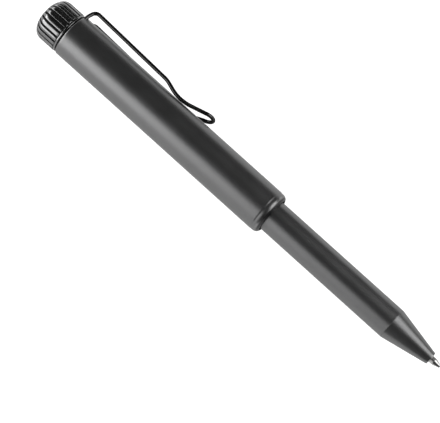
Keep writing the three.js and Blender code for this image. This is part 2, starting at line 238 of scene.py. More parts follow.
def satin_black(name, rubs_and_highlights, painted_shades=()):
    """Bead-blasted metal under a thin black coating, paler along its worn edges and at painted
    highlights.

    Each worn edge and each painted highlight is a (place, width). Each painted shade is the
    (start, end) over which the coating is painted darker, and it stays dark past the end.
    """
    finish = Finish(name, {"Metallic": 1.0})
    cloud = finish.noise(CLOUD_SIZE)
    speck = finish.noise(GRAIN_SIZE, detail=1.0)
    rub_and_highlight = 0.0
    # Paler coating along worn edges and at painted highlights
    for edge, width in rubs_and_highlights:
        distance = finish.node("ShaderNodeMath", {"operation": "ABSOLUTE"}, [finish.along - edge])
        rub_and_highlight = rub_and_highlight + (1 - finish.between(distance, width * RUB_AND_HIGHLIGHT_CORE, width))
    rubbed_and_highlit = rub_and_highlight * finish.between(finish.noise(RUB_AND_HIGHLIGHT_PATCH, detail=3.0), *RUB_AND_HIGHLIGHT_PATCHINESS)
    coating = SATIN_COATING * (SATIN_LEAST + cloud * SATIN_CLOUDS + speck * SATIN_SPECKS)
    level = coating + rubbed_and_highlit * RUB_AND_HIGHLIGHT_PALENESS
    # Painted shade: past each start the coating is painted darker, fully so past its end
    for start, end in painted_shades:
        level = level * (1 - finish.between(finish.along, start, end) * PAINTED_SHADE_DEPTH)
    return finish.done({
        "Base Color": finish.shade(level, warmth=COATING_WARMTH),
        "Roughness": SATIN_ROUGHNESS + (cloud + speck) * ROUGH_SPREAD - rubbed_and_highlit * RUB_POLISH,
        "Normal": finish.grain(GRAIN_SIZE, GRAIN_HEIGHT),
    })


def shares(steps):
    """Even shares from 0 to 1, with both ends."""
    return [step / steps for step in range(steps + 1)]


def extent(node, sides=CAD_SIDES):
    """The rear end, the front end and the true radius of a turned node, which lies on a facet."""
    low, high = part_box(node)
    return low.x, high.x, high.z / math.cos(math.pi / sides)


def rounded(outline):
    """An outline of (place, radius) points, rounded at those with a third value, the rounding."""
    points = [Vector(point[:2]) for point in outline]
    result = []
    for index, point in enumerate(outline):
        corner = points[index]
        if len(point) == 2:
            result.append(corner)
            continue
        to_last = points[index - 1] - corner
        to_next = points[(index + 1) % len(points)] - corner
        back, onward = to_last.normalized(), to_next.normalized()
        half_angle = to_last.angle(to_next) / 2
        reach = point[2] / math.tan(half_angle)
        centre = corner + (back + onward).normalized() * (point[2] / math.sin(half_angle))
        start = corner + back * reach - centre
        turn = start.angle_signed(corner + onward * reach - centre)
        margin = reach * (1 + ARC_MARGIN)
        if to_last.length > 2 * margin:
            result.append(corner + back * margin)
        for share in shares(max(2, round(abs(turn) / ARC_STEP))):
            result.append(centre + start @ Matrix.Rotation(turn * share, 2))
        if to_next.length > 2 * margin:
            result.append(corner + onward * margin)
    return result


def added(name, data):
    """A new object in the scene for a mesh, a light or a camera."""
    made = bpy.data.objects.new(name, data)
    bpy.context.scene.collection.objects.link(made)
    return made


def plain(name, mesh, material):
    """An object for a finished mesh, smooth but for its true edges."""
    mesh.polygons.foreach_set("use_smooth", [True] * len(mesh.polygons))
    mesh.set_sharp_from_angle(angle=SMOOTH_ANGLE)
    mesh.materials.clear()
    mesh.materials.append(material)
    return added(name, mesh)


def even_turn(sides):
    """The angles of this many places round a full turn."""
    return [2 * math.pi * share for share in shares(sides)[:-1]]


def turned_shell(outline, angles, relief=None):
    """The surface that an outline sweeps round the pen's axis, closed on itself or on the axis."""
    shell = bmesh.new()
    rows = []
    for along, radius in outline:
        if radius == 0:
            rows.append([shell.verts.new((along, 0, 0))])
            continue
        row = []
        for angle in angles:
            here = radius - (relief(along, angle, radius) if relief else 0)
            row.append(shell.verts.new((along, here * math.cos(angle), here * math.sin(angle))))
        rows.append(row)
    on_axis = len(rows[0]) == 1 or len(rows[-1]) == 1
    pairs = list(zip(rows, rows[1:]))
    if not on_axis:
        pairs.append((rows[-1], rows[0]))
    for near, far in pairs:
        for side in range(len(angles)):
            following = (side + 1) % len(angles)
            corners = [near[side % len(near)], near[following % len(near)],
                       far[following % len(far)], far[side % len(far)]]
            shell.faces.new(list(dict.fromkeys(corners)))
    return shell


def as_mesh(name, shell):
    """The mesh of a shell, with its faces turned outwards."""
    bmesh.ops.recalc_face_normals(shell, faces=shell.faces)
    mesh = bpy.data.meshes.new(name)
    shell.to_mesh(mesh)
    shell.free()
    return mesh


def turned(name, outline, material, sides=TURNED_SIDES, relief=None):
    shell = turned_shell(rounded(outline), even_turn(sides), relief)
    return plain(name, as_mesh(name, shell), material)


def settled(piece):
    """Turns the piece's modifiers into plain mesh."""
    evaluated = piece.evaluated_get(bpy.context.evaluated_depsgraph_get())
    mesh = bpy.data.meshes.new_from_object(evaluated)
    mesh.name = piece.name
    piece.modifiers.clear()
    old, piece.data = piece.data, mesh
    bpy.data.meshes.remove(old)
    mesh.set_sharp_from_angle(angle=SMOOTH_ANGLE)
    return piece


def seal_size(node):
    """The place, the centre circle's radius and the section's radius of a seal."""
    rear, front, outer = extent(node)
    section = (front - rear) / 2 / math.sin(SEAL_CAD_CORNER)
    return (rear + front) / 2, outer - section, section


def groove(seal, edge, outward=False):
    """A seal's groove in a turned outline whose edge has this radius, front corner first."""
    centre, ring_radius, section = seal_size(seal)
    half_width = section + GROOVE_GAP
    depth = section + SEAL_GAP
    floor = ring_radius + depth if outward else ring_radius - depth
    return [
        (centre + half_width, edge, BREAK_EDGE),
        (centre + half_width, floor, BREAK_EDGE),
        (centre - half_width, floor, BREAK_EDGE),
        (centre - half_width, edge, BREAK_EDGE),
    ]


tail, mouth, barrel_radius = extent("outer_barrel")
unit_radius = extent("nose_cone")[2]
band_radius = extent("inner_barrel")[2]
bore_radius = unit_radius + RUNNING_GAP
recess_radius = band_radius + RUNNING_GAP
rim_radius = recess_radius + MOUTH_RIM
lip_radius = barrel_radius - LIP_DROP
band_middle = seal_size("grip_o_ring")[0]
band_front = band_middle + BAND_WIDTH / 2
band_rear = band_middle - BAND_WIDTH / 2

lip = []
for share in shares(LIP_STEPS):
    turn = MOUTH_ROUND_TURN * (1 - share)
    along = mouth - MOUTH_ROUND_LENGTH * (1 - math.sin(turn) / math.sin(MOUTH_ROUND_TURN))
    drop = (1 - math.cos(turn)) / (1 - math.cos(MOUTH_ROUND_TURN))
    lip.append((along, lip_radius - (lip_radius - rim_radius) * drop))
barrel_outline = [
    *lip,
    (mouth - LIP_START, lip_radius, GROOVE_ROUNDING * 2),
    (mouth - GROOVE_DEEPEST, barrel_radius - GROOVE_DROP, GROOVE_ROUNDING),
    (mouth - GROOVE_START, barrel_radius, GROOVE_ROUNDING),
    (tail, barrel_radius, TAIL_ROUNDING),
    (tail, bore_radius, BREAK_EDGE),
    *reversed(groove("bore_o_ring", bore_radius, outward=True)),
    (band_rear - SEAT_GAP, bore_radius, BREAK_EDGE),
    (band_rear - SEAT_GAP, recess_radius, BREAK_EDGE),
    (mouth, recess_radius, BREAK_EDGE),
]
# The lip takes a painted highlight, and painted shade darkens the lip's front and the mouth's recess.
barrel_finish = satin_black("barrel_satin_black",
                            [(mouth - LIP_RUB_AND_HIGHLIGHT[0], LIP_RUB_AND_HIGHLIGHT[1]), (tail, TAIL_RUB)],
                            [(mouth - LIP_PAINTED_SHADE[0], mouth - LIP_PAINTED_SHADE[1])])
outer_barrel = turned("barrel_tube", barrel_outline, barrel_finish)

# The clip lies turned down from level, so that the pen rests on its barrel and its clip.
clip_joint = next(joint for joint in frame["joints"] if joint["name"] == "clip_lift")
across = Vector(clip_joint["axis"]).normalized()
lift = across.cross(Vector((1, 0, 0)))
wire_start = tail + WIRE_RADIUS + WIRE_SINK
foot_radius = bore_radius - FOOT_CLEARANCE - WIRE_RADIUS


def clip_place(along, height, side):
    """The place at this height over the pen's axis on the clip's side, and this far across."""
    return Vector((along, 0, 0)) + lift * height + across * side


def notch_cutter(side):
    """A slot with a round end, open at the tail, that runs out through the barrel's wall."""
    half_width = WIRE_RADIUS + NOTCH_CLEARANCE
    floor = wire_start + WIRE_RADIUS + NOTCH_FLOOR_GAP
    section = [(tail - half_width, side - half_width), (tail - half_width, side + half_width)]
    for share in shares(NOTCH_STEPS):
        turn = math.pi / 2 - math.pi * share
        along = floor - half_width * (1 - math.cos(turn))
        section.append((along, side + half_width * math.sin(turn)))
    cutter = bmesh.new()
    for height in (0, barrel_radius + WIRE_RADIUS):
        corners = [clip_place(along, height, sideways) for along, sideways in section]
        cutter.faces.new([cutter.verts.new(corner) for corner in corners])
    low, high = (list(face.verts) for face in cutter.faces)
    for index in range(len(section)):
        following = (index + 1) % len(section)
        cutter.faces.new([low[index], low[following], high[following], high[index]])
    return plain("notch_cutter", as_mesh("notch_cutter", cutter), barrel_finish)


for side in (foot_radius, -foot_radius):
    cutter = notch_cutter(side)
    cut = outer_barrel.modifiers.new("notch", "BOOLEAN")
    cut.operation = "DIFFERENCE"
    cut.object = cutter
    settled(outer_barrel)
    bpy.data.objects.remove(cutter)
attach(outer_barrel, "barrel")
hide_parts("outer_barrel")

# Seals
# Four O-rings of black rubber: one deep in the bore, one on the knob's stem, one on the pen unit's
# band and one on the nose cone's stem. Each is moulded whole and rolled into its groove.
SEAL_STEPS = 24
RUBBER_LEVEL = 0.018
RUBBER_ROUGHNESS = 0.5
RUBBER_GRAIN = (0.00008, 0.000003)
BLOOM_SIZE = 0.0012
BLOOM_PALENESS = 0.016
BLOOM_ROUGHNESS = 0.15
RUBBER_BODIES = {
    "bore_o_ring": "barrel",
    "knob_o_ring": "knob",
    "grip_o_ring": "grip_ring",
    "nose_o_ring": "nose_ring",
}


def black_rubber():
    """Matt black rubber with a faint pale bloom."""
    finish = Finish("black_rubber", {"Specular IOR Level": 0.4})
    bloom = finish.noise(BLOOM_SIZE, detail=3.0)
    return finish.done({
        "Base Color": finish.shade(RUBBER_LEVEL + bloom * BLOOM_PALENESS),
        "Roughness": RUBBER_ROUGHNESS + bloom * BLOOM_ROUGHNESS,
        "Normal": finish.grain(*RUBBER_GRAIN),
    })


rubber = black_rubber()
for node, body in RUBBER_BODIES.items():
    centre, ring_radius, section = seal_size(node)
    ring_outline = [(centre + section * math.sin(turn), ring_radius + section * math.cos(turn))
                    for turn in even_turn(SEAL_STEPS)]
    seal = turned(node.replace("o_ring", "seal"), ring_outline, rubber)
    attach(seal, body)
    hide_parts(node)

# Knob
# A domed knob with 24 flutes round it, turned with its neck and stem from one bar and coated gloss
# black. The clip's feet go round the neck, and the stem screws into the barrel's tail.
DOME_LENGTH = 0.0042
DOME_POWER = 2.35
FACE_RADIUS = 0.002
FLUTE_COUNT = 24
FLUTE_TURN = math.radians(6)
FLUTE_WIDTH = 0.0006
FLUTE_DEPTH = 0.0005
FLUTE_SHOULDER = 0.00012
FLUTE_FLOOR_BEND = 0.00014
FLUTE_START_RADIUS = 0.0041
FLUTE_FULL_RADIUS = 0.0048
FLUTE_LEAST = 0.3
LAND_CROWN = 0.00003
FLOOR_STEPS = 4
SHOULDER_STEPS = 6
LAND_STEPS = 4
FACE_RINGS = (0.0, 0.5, 0.97)
DOME_STEPS = 36
SIDE_STEPS = 6
KNOB_BASE_ROUNDING = 0.0002
KNOB_BASE_STEPS = 5
NECK_GAP = 0.0001
NECK_EDGE = 0.0001
NECK_FILLET = 0.0002
NECK_THINNING = 2
STEM_SETBACK = 0.00125
STEM_LENGTH = 0.005
STEM_CHAMFER = 0.00015
WELD = 5e-7
THREAD_GAP = 0.0001
THREAD_PITCH = 0.00075
THREAD_DEPTH = 0.00035
THREAD_FLANK = 1.35
THREAD_ROWS = 10
STEM_THREAD_INSET = 0.0017
SAME_PLACE = 1e-6

# The gloss finish. The flutes' painted shade, where they are also duller, comes in over a depth,
# as a share of the dome's fullness, and the face's painted shade fades out over a distance from
# the face.
GLOSS_COATING = 0.19
GLOSS_LEAST = 0.94
GLOSS_CLOUDS = 0.12
GLOSS_ROUGHNESS = 0.16
CLOUD_ROUGHNESS = 0.03
SMEAR_SIZE = 0.0015
SMEAR_PATCHINESS = (0.4, 0.75)
SMEAR_ROUGHNESS = 0.06
FLUTE_PAINTED_SHADE = (0.035, 0.11)
FLUTE_DULLNESS_AND_SHADE = 0.9
FLUTE_ROUGHNESS = 0.2
FACE_PAINTED_SHADE = (0.0002, 0.0009)
FACE_PAINTED_SHADE_DEPTH = 0.6


def gloss_black(name):
    """Polished metal under a black coating, with faint handling marks.

    The flutes are duller and take painted shade, and the face takes painted shade too.
    """
    finish = Finish(name, {"Specular IOR Level": 0.0})
    cloud = finish.noise(CLOUD_SIZE / 2)
    smear = finish.between(finish.noise(SMEAR_SIZE, detail=4.0), *SMEAR_PATCHINESS)
    to_side = 1 - (finish.along + dome_depth(FACE_RADIUS)) * (1 / DOME_LENGTH)
    into_dome = finish.node("ShaderNodeMath", {"operation": "MAXIMUM"}, [to_side, 0.0])
    fullness = into_dome ** DOME_POWER + (finish.reach() * (1 / barrel_radius)) ** DOME_POWER
    # Painted shade down the flutes' walls, where the coating is also less metallic and rougher
    flute = (finish.between(1 - fullness, *FLUTE_PAINTED_SHADE)
             * (1 - finish.between(finish.along, knob_base - KNOB_BASE_ROUNDING, knob_base)))
    # Painted shade on the flat face and the dome's first turn
    face = 1 - finish.between(finish.along, *FACE_PAINTED_SHADE)
    # In the flutes this darkens the base colour as painted shade, as well as lowering the metal
    metal = 1 - flute * FLUTE_DULLNESS_AND_SHADE
    coating = GLOSS_COATING * (GLOSS_LEAST + cloud * GLOSS_CLOUDS)
    marks = smear * SMEAR_ROUGHNESS + cloud * CLOUD_ROUGHNESS
    return finish.done({
        "Base Color": finish.shade(coating * metal * (1 - face * FACE_PAINTED_SHADE_DEPTH), COATING_WARMTH),
        "Metallic": metal,
        "Roughness": GLOSS_ROUGHNESS + marks + flute * FLUTE_ROUGHNESS,
        "Normal": finish.grain(GRAIN_SIZE * 2, GRAIN_HEIGHT / 3),
    })


def thread(start, end, crest):
    """The rows and the relief of a screw thread whose crest has this radius."""
    rows = round((end - start) / THREAD_PITCH * THREAD_ROWS)
    outline = [(start + (end - start) * share, crest) for share in shares(rows)]

    def relief(along, angle, radius):
        if abs(radius - crest) > SAME_PLACE or not start <= along <= end:
            return 0
        share = (along / THREAD_PITCH - angle / (2 * math.pi)) % 1
        depth = min(abs(2 * share - 1) * THREAD_FLANK, 1)
        fade = min((along - start) / THREAD_PITCH, (end - along) / THREAD_PITCH, 1)
        return THREAD_DEPTH * depth * max(fade, 0)

    return outline, relief


def dome_depth(radius):
    """How far the dome's full curve has come from its tip at this radius."""
    share = min((radius / barrel_radius) ** DOME_POWER, 1)
    return DOME_LENGTH * (1 - (1 - share) ** (1 / DOME_POWER))


def flute_section():
    """Half of one flute across: (distance from its middle, depth), to where the land starts."""
    wall = FLUTE_WIDTH / 2
    inner = wall - FLUTE_FLOOR_BEND
    section = [(0.0, FLUTE_DEPTH), (inner, FLUTE_DEPTH)]
    for share in shares(FLOOR_STEPS)[1:]:
        turn = math.pi / 2 * share
        section.append((inner + FLUTE_FLOOR_BEND * math.sin(turn),
                        FLUTE_DEPTH - FLUTE_FLOOR_BEND * (1 - math.cos(turn))))
    for share in shares(SHOULDER_STEPS):
        turn = math.pi / 2 * share
        section.append((wall + FLUTE_SHOULDER * (1 - math.cos(turn)),
                        LAND_CROWN + FLUTE_SHOULDER * (1 - math.sin(turn))))
    return section


def knob_rows():
    """The head's rows, face first: (place, radius, inward direction, how full the flutes are)."""
    rows = [(0.0, FACE_RADIUS * share, Vector((1, 0)), 0.0) for share in FACE_RINGS]
    face_turn = math.asin((FACE_RADIUS / barrel_radius) ** (DOME_POWER / 2))
    slope_power = 2 / DOME_POWER * (DOME_POWER - 1)
    for share in shares(DOME_STEPS):
        turn = face_turn + (math.pi / 2 - face_turn) * share
        radius = barrel_radius * math.sin(turn) ** (2 / DOME_POWER)
        inward = Vector((math.cos(turn) ** slope_power / DOME_LENGTH,
                         -math.sin(turn) ** slope_power / barrel_radius)).normalized()
        started = (radius - FLUTE_START_RADIUS) / (FLUTE_FULL_RADIUS - FLUTE_START_RADIUS)
        started = min(max(started, 0), 1)
        full = started * started * (3 - 2 * started)
        rows.append((dome_depth(radius) - dome_depth(FACE_RADIUS), radius, inward, full))
    side_start = rows[-1][0]
    side_end = knob_base - KNOB_BASE_ROUNDING
    inward = Vector((0, -1))
    rows += [(side_start + (side_end - side_start) * share, barrel_radius, inward, 1.0)
             for share in shares(SIDE_STEPS)[1:]]
    for share in shares(KNOB_BASE_STEPS)[1:]:
        turn = math.pi / 2 * share
        along = side_end + KNOB_BASE_ROUNDING * math.sin(turn)
        radius = barrel_radius - KNOB_BASE_ROUNDING * (1 - math.cos(turn))
        rows.append((along, radius, inward, 1.0))
    under_flutes = barrel_radius - KNOB_BASE_ROUNDING - FLUTE_DEPTH - NECK_EDGE
    rows += [(knob_base, radius, inward, 0.0)
             for radius in (under_flutes, neck_radius + NECK_EDGE, neck_radius)]
    return rows


def flute_columns(radius, full):
    """The angles and depths across one flute and its two half lands, at this radius."""
    scale = max(radius, FLUTE_START_RADIUS)
    half = [(distance * max(full, FLUTE_LEAST) / scale, depth * full)
            for distance, depth in flute_section()]
    half_pitch = math.pi / FLUTE_COUNT
    shoulder, crown = half[-1]
    half += [(shoulder + (half_pitch - shoulder) * share, crown * (1 - share) ** 2)
             for share in shares(LAND_STEPS)[1:]]
    return [(-angle, depth) for angle, depth in reversed(half[1:])] + half


def flute_sector():
    """One flute with the land on each side of it: the slice of the head that repeats round it."""
    sector = bmesh.new()
    rows = []
    for along, radius, inward, full in knob_rows():
        if radius == 0:
            rows.append([sector.verts.new((along, 0, 0))])
            continue
        row = []
        thinning = NECK_THINNING if radius == neck_radius else 1
        for angle, depth in flute_columns(radius, full)[::thinning]:
            place = along + inward.x * depth
            out = radius + inward.y * depth
            row.append(sector.verts.new((place, out * math.cos(angle), out * math.sin(angle))))
        rows.append(row)
    for near, far in zip(rows, rows[1:]):
        step = max((len(near) - 1) // (len(far) - 1), 1)
        for index in range(len(far) - 1):
            edge = [near[min(index * step + place, len(near) - 1)] for place in range(step + 1)]
            sector.faces.new(list(dict.fromkeys([*edge, far[index + 1], far[index]])))
    return as_mesh("flute_sector", sector)


class Growth(Graph):
    """A Geometry Nodes tree with named inputs, which ends in plain mesh of one material."""

    def __init__(self, name, inputs):
        super().__init__(bpy.data.node_groups.new(name, "GeometryNodeTree"))
        sockets = self.tree.interface
        for label, kind in {"Geometry": "Geometry", **inputs, "Material": "Material"}.items():
            sockets.new_socket(label, in_out="INPUT", socket_type="NodeSocket" + kind)
        sockets.new_socket("Geometry", in_out="OUTPUT", socket_type="NodeSocketGeometry")

    def given(self, label):
        return self.node("NodeGroupInput", output=label)

    def end(self, made):
        real = self.node("GeometryNodeRealizeInstances", {}, [made])
        values = {"Geometry": real, "Material": self.given("Material")}
        self.node("NodeGroupOutput", {}, [self.node("GeometryNodeSetMaterial", {}, values)])
        return self.tree


def grown(name, mesh, tree, values):
    """The piece that a Geometry Nodes tree makes of a mesh."""
    piece = added(name, mesh)
    modifier = piece.modifiers.new(tree.name, "NODES")
    modifier.node_group = tree
    for item in tree.interface.items_tree:
        if item.in_out == "INPUT" and item.name in values:
            modifier[item.identifier] = values[item.name]
    return settled(piece)


def ring_tree():
    """Repeats a slice about X: one copy for each share of a full turn."""
    ring = Growth("ring_of_slices", {"Count": "Int", "First Turn": "Float"})
    count = ring.given("Count")
    angle = ring.node("GeometryNodeInputIndex") * (2 * math.pi / count) + ring.given("First Turn")
    euler = ring.node("ShaderNodeCombineXYZ", {}, [angle])
    return ring.end(ring.node("GeometryNodeInstanceOnPoints", {}, {
        "Points": ring.node("GeometryNodePoints", {}, [count]),
        "Instance": ring.given("Geometry"),
        "Rotation": ring.node("FunctionNodeEulerToRotation", {}, [euler]),
    }))


knob_base, collar_front, collar_radius = extent("clip_collar")
neck_radius = foot_radius - WIRE_RADIUS - NECK_GAP
stem_radius = bore_radius - THREAD_GAP
stem_start = wire_start + WIRE_RADIUS + STEM_SETBACK
stem_end = stem_start + STEM_LENGTH
knob_finish = gloss_black("gloss_black")
head = grown("knob_head", flute_sector(), ring_tree(),
             {"Count": FLUTE_COUNT, "First Turn": FLUTE_TURN, "Material": knob_finish})

stem_thread, stem_relief = thread(stem_start + STEM_THREAD_INSET, stem_end - STEM_CHAMFER, stem_radius)
stem_outline = [
    (knob_base, neck_radius),
    (knob_base + NECK_EDGE, neck_radius),
    (stem_start, neck_radius, NECK_FILLET),
    (stem_start, stem_radius, NECK_EDGE),
    *reversed(groove("knob_o_ring", stem_radius)),
    *stem_thread,
    (stem_end, stem_radius - STEM_CHAMFER),
    (stem_end, 0),
]
neck_turn = [flute_turn + FLUTE_TURN + angle
             for flute_turn in even_turn(FLUTE_COUNT)
             for angle, depth in flute_columns(neck_radius, 0.0)[:-1:NECK_THINNING]]
knob_shell = turned_shell(rounded(stem_outline), neck_turn, stem_relief)
knob_shell.from_mesh(head.data)
bmesh.ops.remove_doubles(knob_shell, verts=knob_shell.verts, dist=WELD)
bpy.data.objects.remove(head)
knob = plain("fluted_knob", as_mesh("fluted_knob", knob_shell), knob_finish)
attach(knob, "knob")
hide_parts("end_knob")

# Collar
# A thin turned ring, coated gloss black like the knob. It is trapped between the knob and the
# barrel, and holds the clip's wires down in their notches.
COLLAR_ROUNDING = 0.0002
collar_hole = neck_radius + RUNNING_GAP
collar = turned("collar", [
    (collar_front, collar_hole, BREAK_EDGE),
    (collar_front, collar_radius, COLLAR_ROUNDING),
    (knob_base, collar_radius, COLLAR_ROUNDING),
    (knob_base, collar_hole, BREAK_EDGE),
], knob_finish)
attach(collar, "clip_mount")
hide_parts("clip_collar")

# Clip
# One length of round spring wire, bent to a hairpin and coated gloss black. Its two feet go round
# the knob's neck, and its legs dip to the barrel to grip and flare again before the end loop.
FOOT_WRAP = math.radians(62)
CORNER_RISE = 0.00205
CORNER_LEAN = 0.00074
CORNER_BEND = 0.00165
SHANK_BEND = 0.004
RUN_LENGTH = 0.0291
RUN_END_RISE = 0.00108
RUN_END_BEND = 0.008
DIP_LENGTH = 0.0064
CONTACT_BEND = 0.01
CONTACT_CLEARANCE = 0.00004
CONTACT_SPREAD = 0.0041
FLARE_LENGTH = 0.0079
FLARE_RISE = 0.002
LOOP_RADIUS = 0.0025
LOOP_BEND_SHARE = 0.999
LOOP_RISE = 0.00081
WIRE_SIDES = 32
BEND_STEPS = 14
CLIP_COATING = 0.07
CLIP_TINT = 0.3
CLIP_LEAST = 0.9
CLIP_CLOUDS = 0.2
CLIP_ROUGHNESS = 0.16
CLIP_UNEVENNESS = 0.1

run_end = wire_start + RUN_LENGTH
contact = run_end + DIP_LENGTH
flare_end = contact + FLARE_LENGTH


def half_spread(along):
    """The legs run almost parallel to the contact, and close up from there to the loop."""
    if along < contact:
        share = max((along - wire_start) / (contact - wire_start), 0)
        return foot_radius + (CONTACT_SPREAD - foot_radius) * share
    share = min((along - contact) / FLARE_LENGTH, 1)
    return CONTACT_SPREAD + (LOOP_RADIUS - CONTACT_SPREAD) * share


def contact_rise():
    """The rise of the path's corner at the contact, where the bent wire just clears the barrel."""
    reach = barrel_radius + WIRE_RADIUS + CONTACT_CLEARANCE
    touch = math.sqrt(reach ** 2 - half_spread(contact) ** 2) - barrel_radius
    fall = math.atan2(RUN_END_RISE - touch, DIP_LENGTH)
    climb = math.atan2(FLARE_RISE - touch, FLARE_LENGTH)
    return touch - CONTACT_BEND * (1 / math.cos((fall + climb) / 2) - 1)


def clip_leg(side):
    """One leg's corners, foot first: (along the pen, height over its axis, side, bend radius)."""
    def corner(along, rise, bend):
        return along, barrel_radius + rise, side * half_spread(along), bend

    foot = side * foot_radius
    return [
        (wire_start, -foot_radius * math.sin(FOOT_WRAP), foot * math.cos(FOOT_WRAP), 0.0),
        (wire_start, -foot_radius * math.tan(FOOT_WRAP / 2), foot, foot_radius),
        (wire_start, barrel_radius - WIRE_RADIUS, foot, SHANK_BEND),
        corner(wire_start + CORNER_LEAN, CORNER_RISE, CORNER_BEND),
        corner(run_end, RUN_END_RISE, RUN_END_BEND),
        corner(contact, contact_rise(), CONTACT_BEND),
        corner(flare_end, FLARE_RISE, 0.0),
        (flare_end + LOOP_RADIUS, barrel_radius + FLARE_RISE + LOOP_RISE, side * LOOP_RADIUS,
         LOOP_RADIUS * LOOP_BEND_SHARE),
    ]


def wire_mesh(name, corners):
    """The corners as a chain of edges, each with the radius of its bend."""
    mesh = bpy.data.meshes.new(name)
    places = [place for place, bend in corners]
    mesh.from_pydata(places, [(index, index + 1) for index in range(len(places) - 1)], [])
    bends = mesh.attributes.new("bend", "FLOAT", "POINT")
    bends.data.foreach_set("value", [bend for place, bend in corners])
    return mesh


def wire_tree():
    """Bends a chain of edges at its corners and gives it a round section with closed ends."""
    wire = Growth("bent_wire", {"Wire Radius": "Float", "Sides": "Int", "Bend Steps": "Int"})
    chain = wire.node("GeometryNodeMeshToCurve", {}, {"Mesh": wire.given("Geometry")})
    bend = wire.node("GeometryNodeInputNamedAttribute", {"data_type": "FLOAT"}, {"Name": "bend"})
    bent = wire.node("GeometryNodeFilletCurve", {"mode": "POLY"}, {
        "Curve": chain, "Count": wire.given("Bend Steps"), "Radius": bend})
    section = wire.node("GeometryNodeCurvePrimitiveCircle", {"mode": "RADIUS"}, {
        "Resolution": wire.given("Sides"), "Radius": wire.given("Wire Radius")})
    return wire.end(wire.node("GeometryNodeCurveToMesh", {}, {
        "Curve": bent, "Profile Curve": section, "Fill Caps": True}))


def clip_black():
    """Gloss black coating over drawn wire."""
    tint = (CLIP_TINT,) * 3 + (1,)
    finish = Finish("clip_gloss_black", {"Metallic": 1.0, "Specular Tint": tint})
    cloud = finish.noise(CLOUD_SIZE / 3, detail=3.0)
    return finish.done({
        "Base Color": finish.shade(CLIP_COATING * (CLIP_LEAST + cloud * CLIP_CLOUDS)),
        "Roughness": CLIP_ROUGHNESS + cloud * CLIP_UNEVENNESS,
        "Normal": finish.grain(GRAIN_SIZE * 2, GRAIN_HEIGHT / 2),
    })


bent_wire = wire_tree()
clip_corners = clip_leg(1) + list(reversed(clip_leg(-1)))
clip = grown("wire_clip", wire_mesh("wire_clip", [
    (clip_place(along, height, side), bend) for along, height, side, bend in clip_corners
]), bent_wire, {"Wire Radius": WIRE_RADIUS, "Sides": WIRE_SIDES, "Bend Steps": BEND_STEPS,
                "Material": clip_black()})
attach(clip, "clip")
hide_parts("clip_wire")

# Inner barrel
# The pen unit's turned tube, in the same satin black as the barrel. A raised band near its middle
# carries a seal and stops in the recess of the mouth, whichever way round the unit goes in.
UNIT_WALL = 0.0011
BAND_ROUNDING = 0.00012
BAND_RUB = 0.0002

plug_seam, cone_start, _ = extent("inner_barrel")
unit_bore = unit_radius - UNIT_WALL
inner_finish = satin_black("unit_satin_black", [(band_front, BAND_RUB), (band_rear, BAND_RUB)])
inner_barrel = turned("inner_tube", [
    (cone_start, unit_bore, BREAK_EDGE),
    (cone_start, unit_radius, BREAK_EDGE),
    (band_front, unit_radius, BREAK_EDGE),
    (band_front, band_radius, BAND_ROUNDING),
    *groove("grip_o_ring", band_radius),
    (band_rear, band_radius, BAND_ROUNDING),
    (band_rear, unit_radius, BREAK_EDGE),
    (plug_seam, unit_radius, BREAK_EDGE),
    (plug_seam, unit_bore, BREAK_EDGE),
], inner_finish)
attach(inner_barrel, "pen_unit")
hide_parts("inner_barrel")

# Rear plug
# The tapered tail of the pen unit, turned with a screwed stem that shuts the tube behind the
# spring. Its sides are satin black, and its flat end is faced off to bare metal.
PLUG_TAPER = 0.0008
PLUG_BULGE = 0.0001
PLUG_EDGE = 0.00008
TAPER_STEPS = 8
PLUG_THREAD_INSET = 0.0002
PLUG_LEAST = 0.95
PLUG_ROUGHNESS = 0.36
FACING_DEPTH = 0.00003
FACING_EDGE = 0.00006
BARE_METAL = 0.62
BARE_POLISH = 0.16
RING_SPACING = 0.00009
RING_PALENESS = 0.12
RING_ROUGHNESS = 0.1

plug_end, plug_stem_end, _ = extent("rear_plug")
unit_stem = unit_bore - THREAD_GAP
plug_face = unit_radius - PLUG_TAPER


def faced_satin(name, face, inner_radius):
    """Satin black on the sides, and on the flat end bare metal with fine turning rings."""
    finish = Finish(name, {"Metallic": 1.0})
    cloud = finish.noise(CLOUD_SIZE)
    reach = finish.reach()
    bare = ((1 - finish.between(finish.along, face, face + FACING_DEPTH))
            * (1 - finish.between(reach, inner_radius - FACING_EDGE, inner_radius)))
    rings = finish.lines(reach, RING_SPACING)
    coating = SATIN_COATING * (PLUG_LEAST + cloud * SATIN_CLOUDS) * (1 - bare)
    polish = bare * (BARE_POLISH - rings * RING_ROUGHNESS)
    return finish.done({
        "Base Color": finish.shade(coating + bare * (BARE_METAL + rings * RING_PALENESS)),
        "Roughness": PLUG_ROUGHNESS + cloud * ROUGH_SPREAD - polish,
        "Normal": finish.grain(GRAIN_SIZE, GRAIN_HEIGHT),
    })


plug_thread, plug_relief = thread(plug_seam + PLUG_THREAD_INSET, plug_stem_end - STEM_CHAMFER, unit_stem)
taper = []
for share in shares(TAPER_STEPS):
    along = plug_seam + (plug_end - plug_seam) * share
    bulge = PLUG_BULGE * 4 * share * (1 - share)
    taper.append((along, unit_radius + (plug_face - unit_radius) * share + bulge))
plug = turned("rear_plug_turned", [
    (plug_stem_end, 0),
    (plug_stem_end, unit_stem - STEM_CHAMFER),
    *reversed(plug_thread),
    (plug_seam, unit_stem, BREAK_EDGE),
    *taper[:-1],
    (*taper[-1], PLUG_EDGE),
    (plug_end, 0),
], faced_satin("plug_satin_black", plug_end, plug_face - PLUG_EDGE), relief=plug_relief)
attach(plug, "pen_unit")
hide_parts("rear_plug")

# Nose cone
# A turned cone in satin black that guides the point. Its stem screws into the inner barrel and
# carries a seal.
CONE_NOSE_WALL = 0.00078
NOSE_ROUNDING = 0.00006
NOSE_RUB = 0.0004
CONE_THREAD_INSET = 0.0009

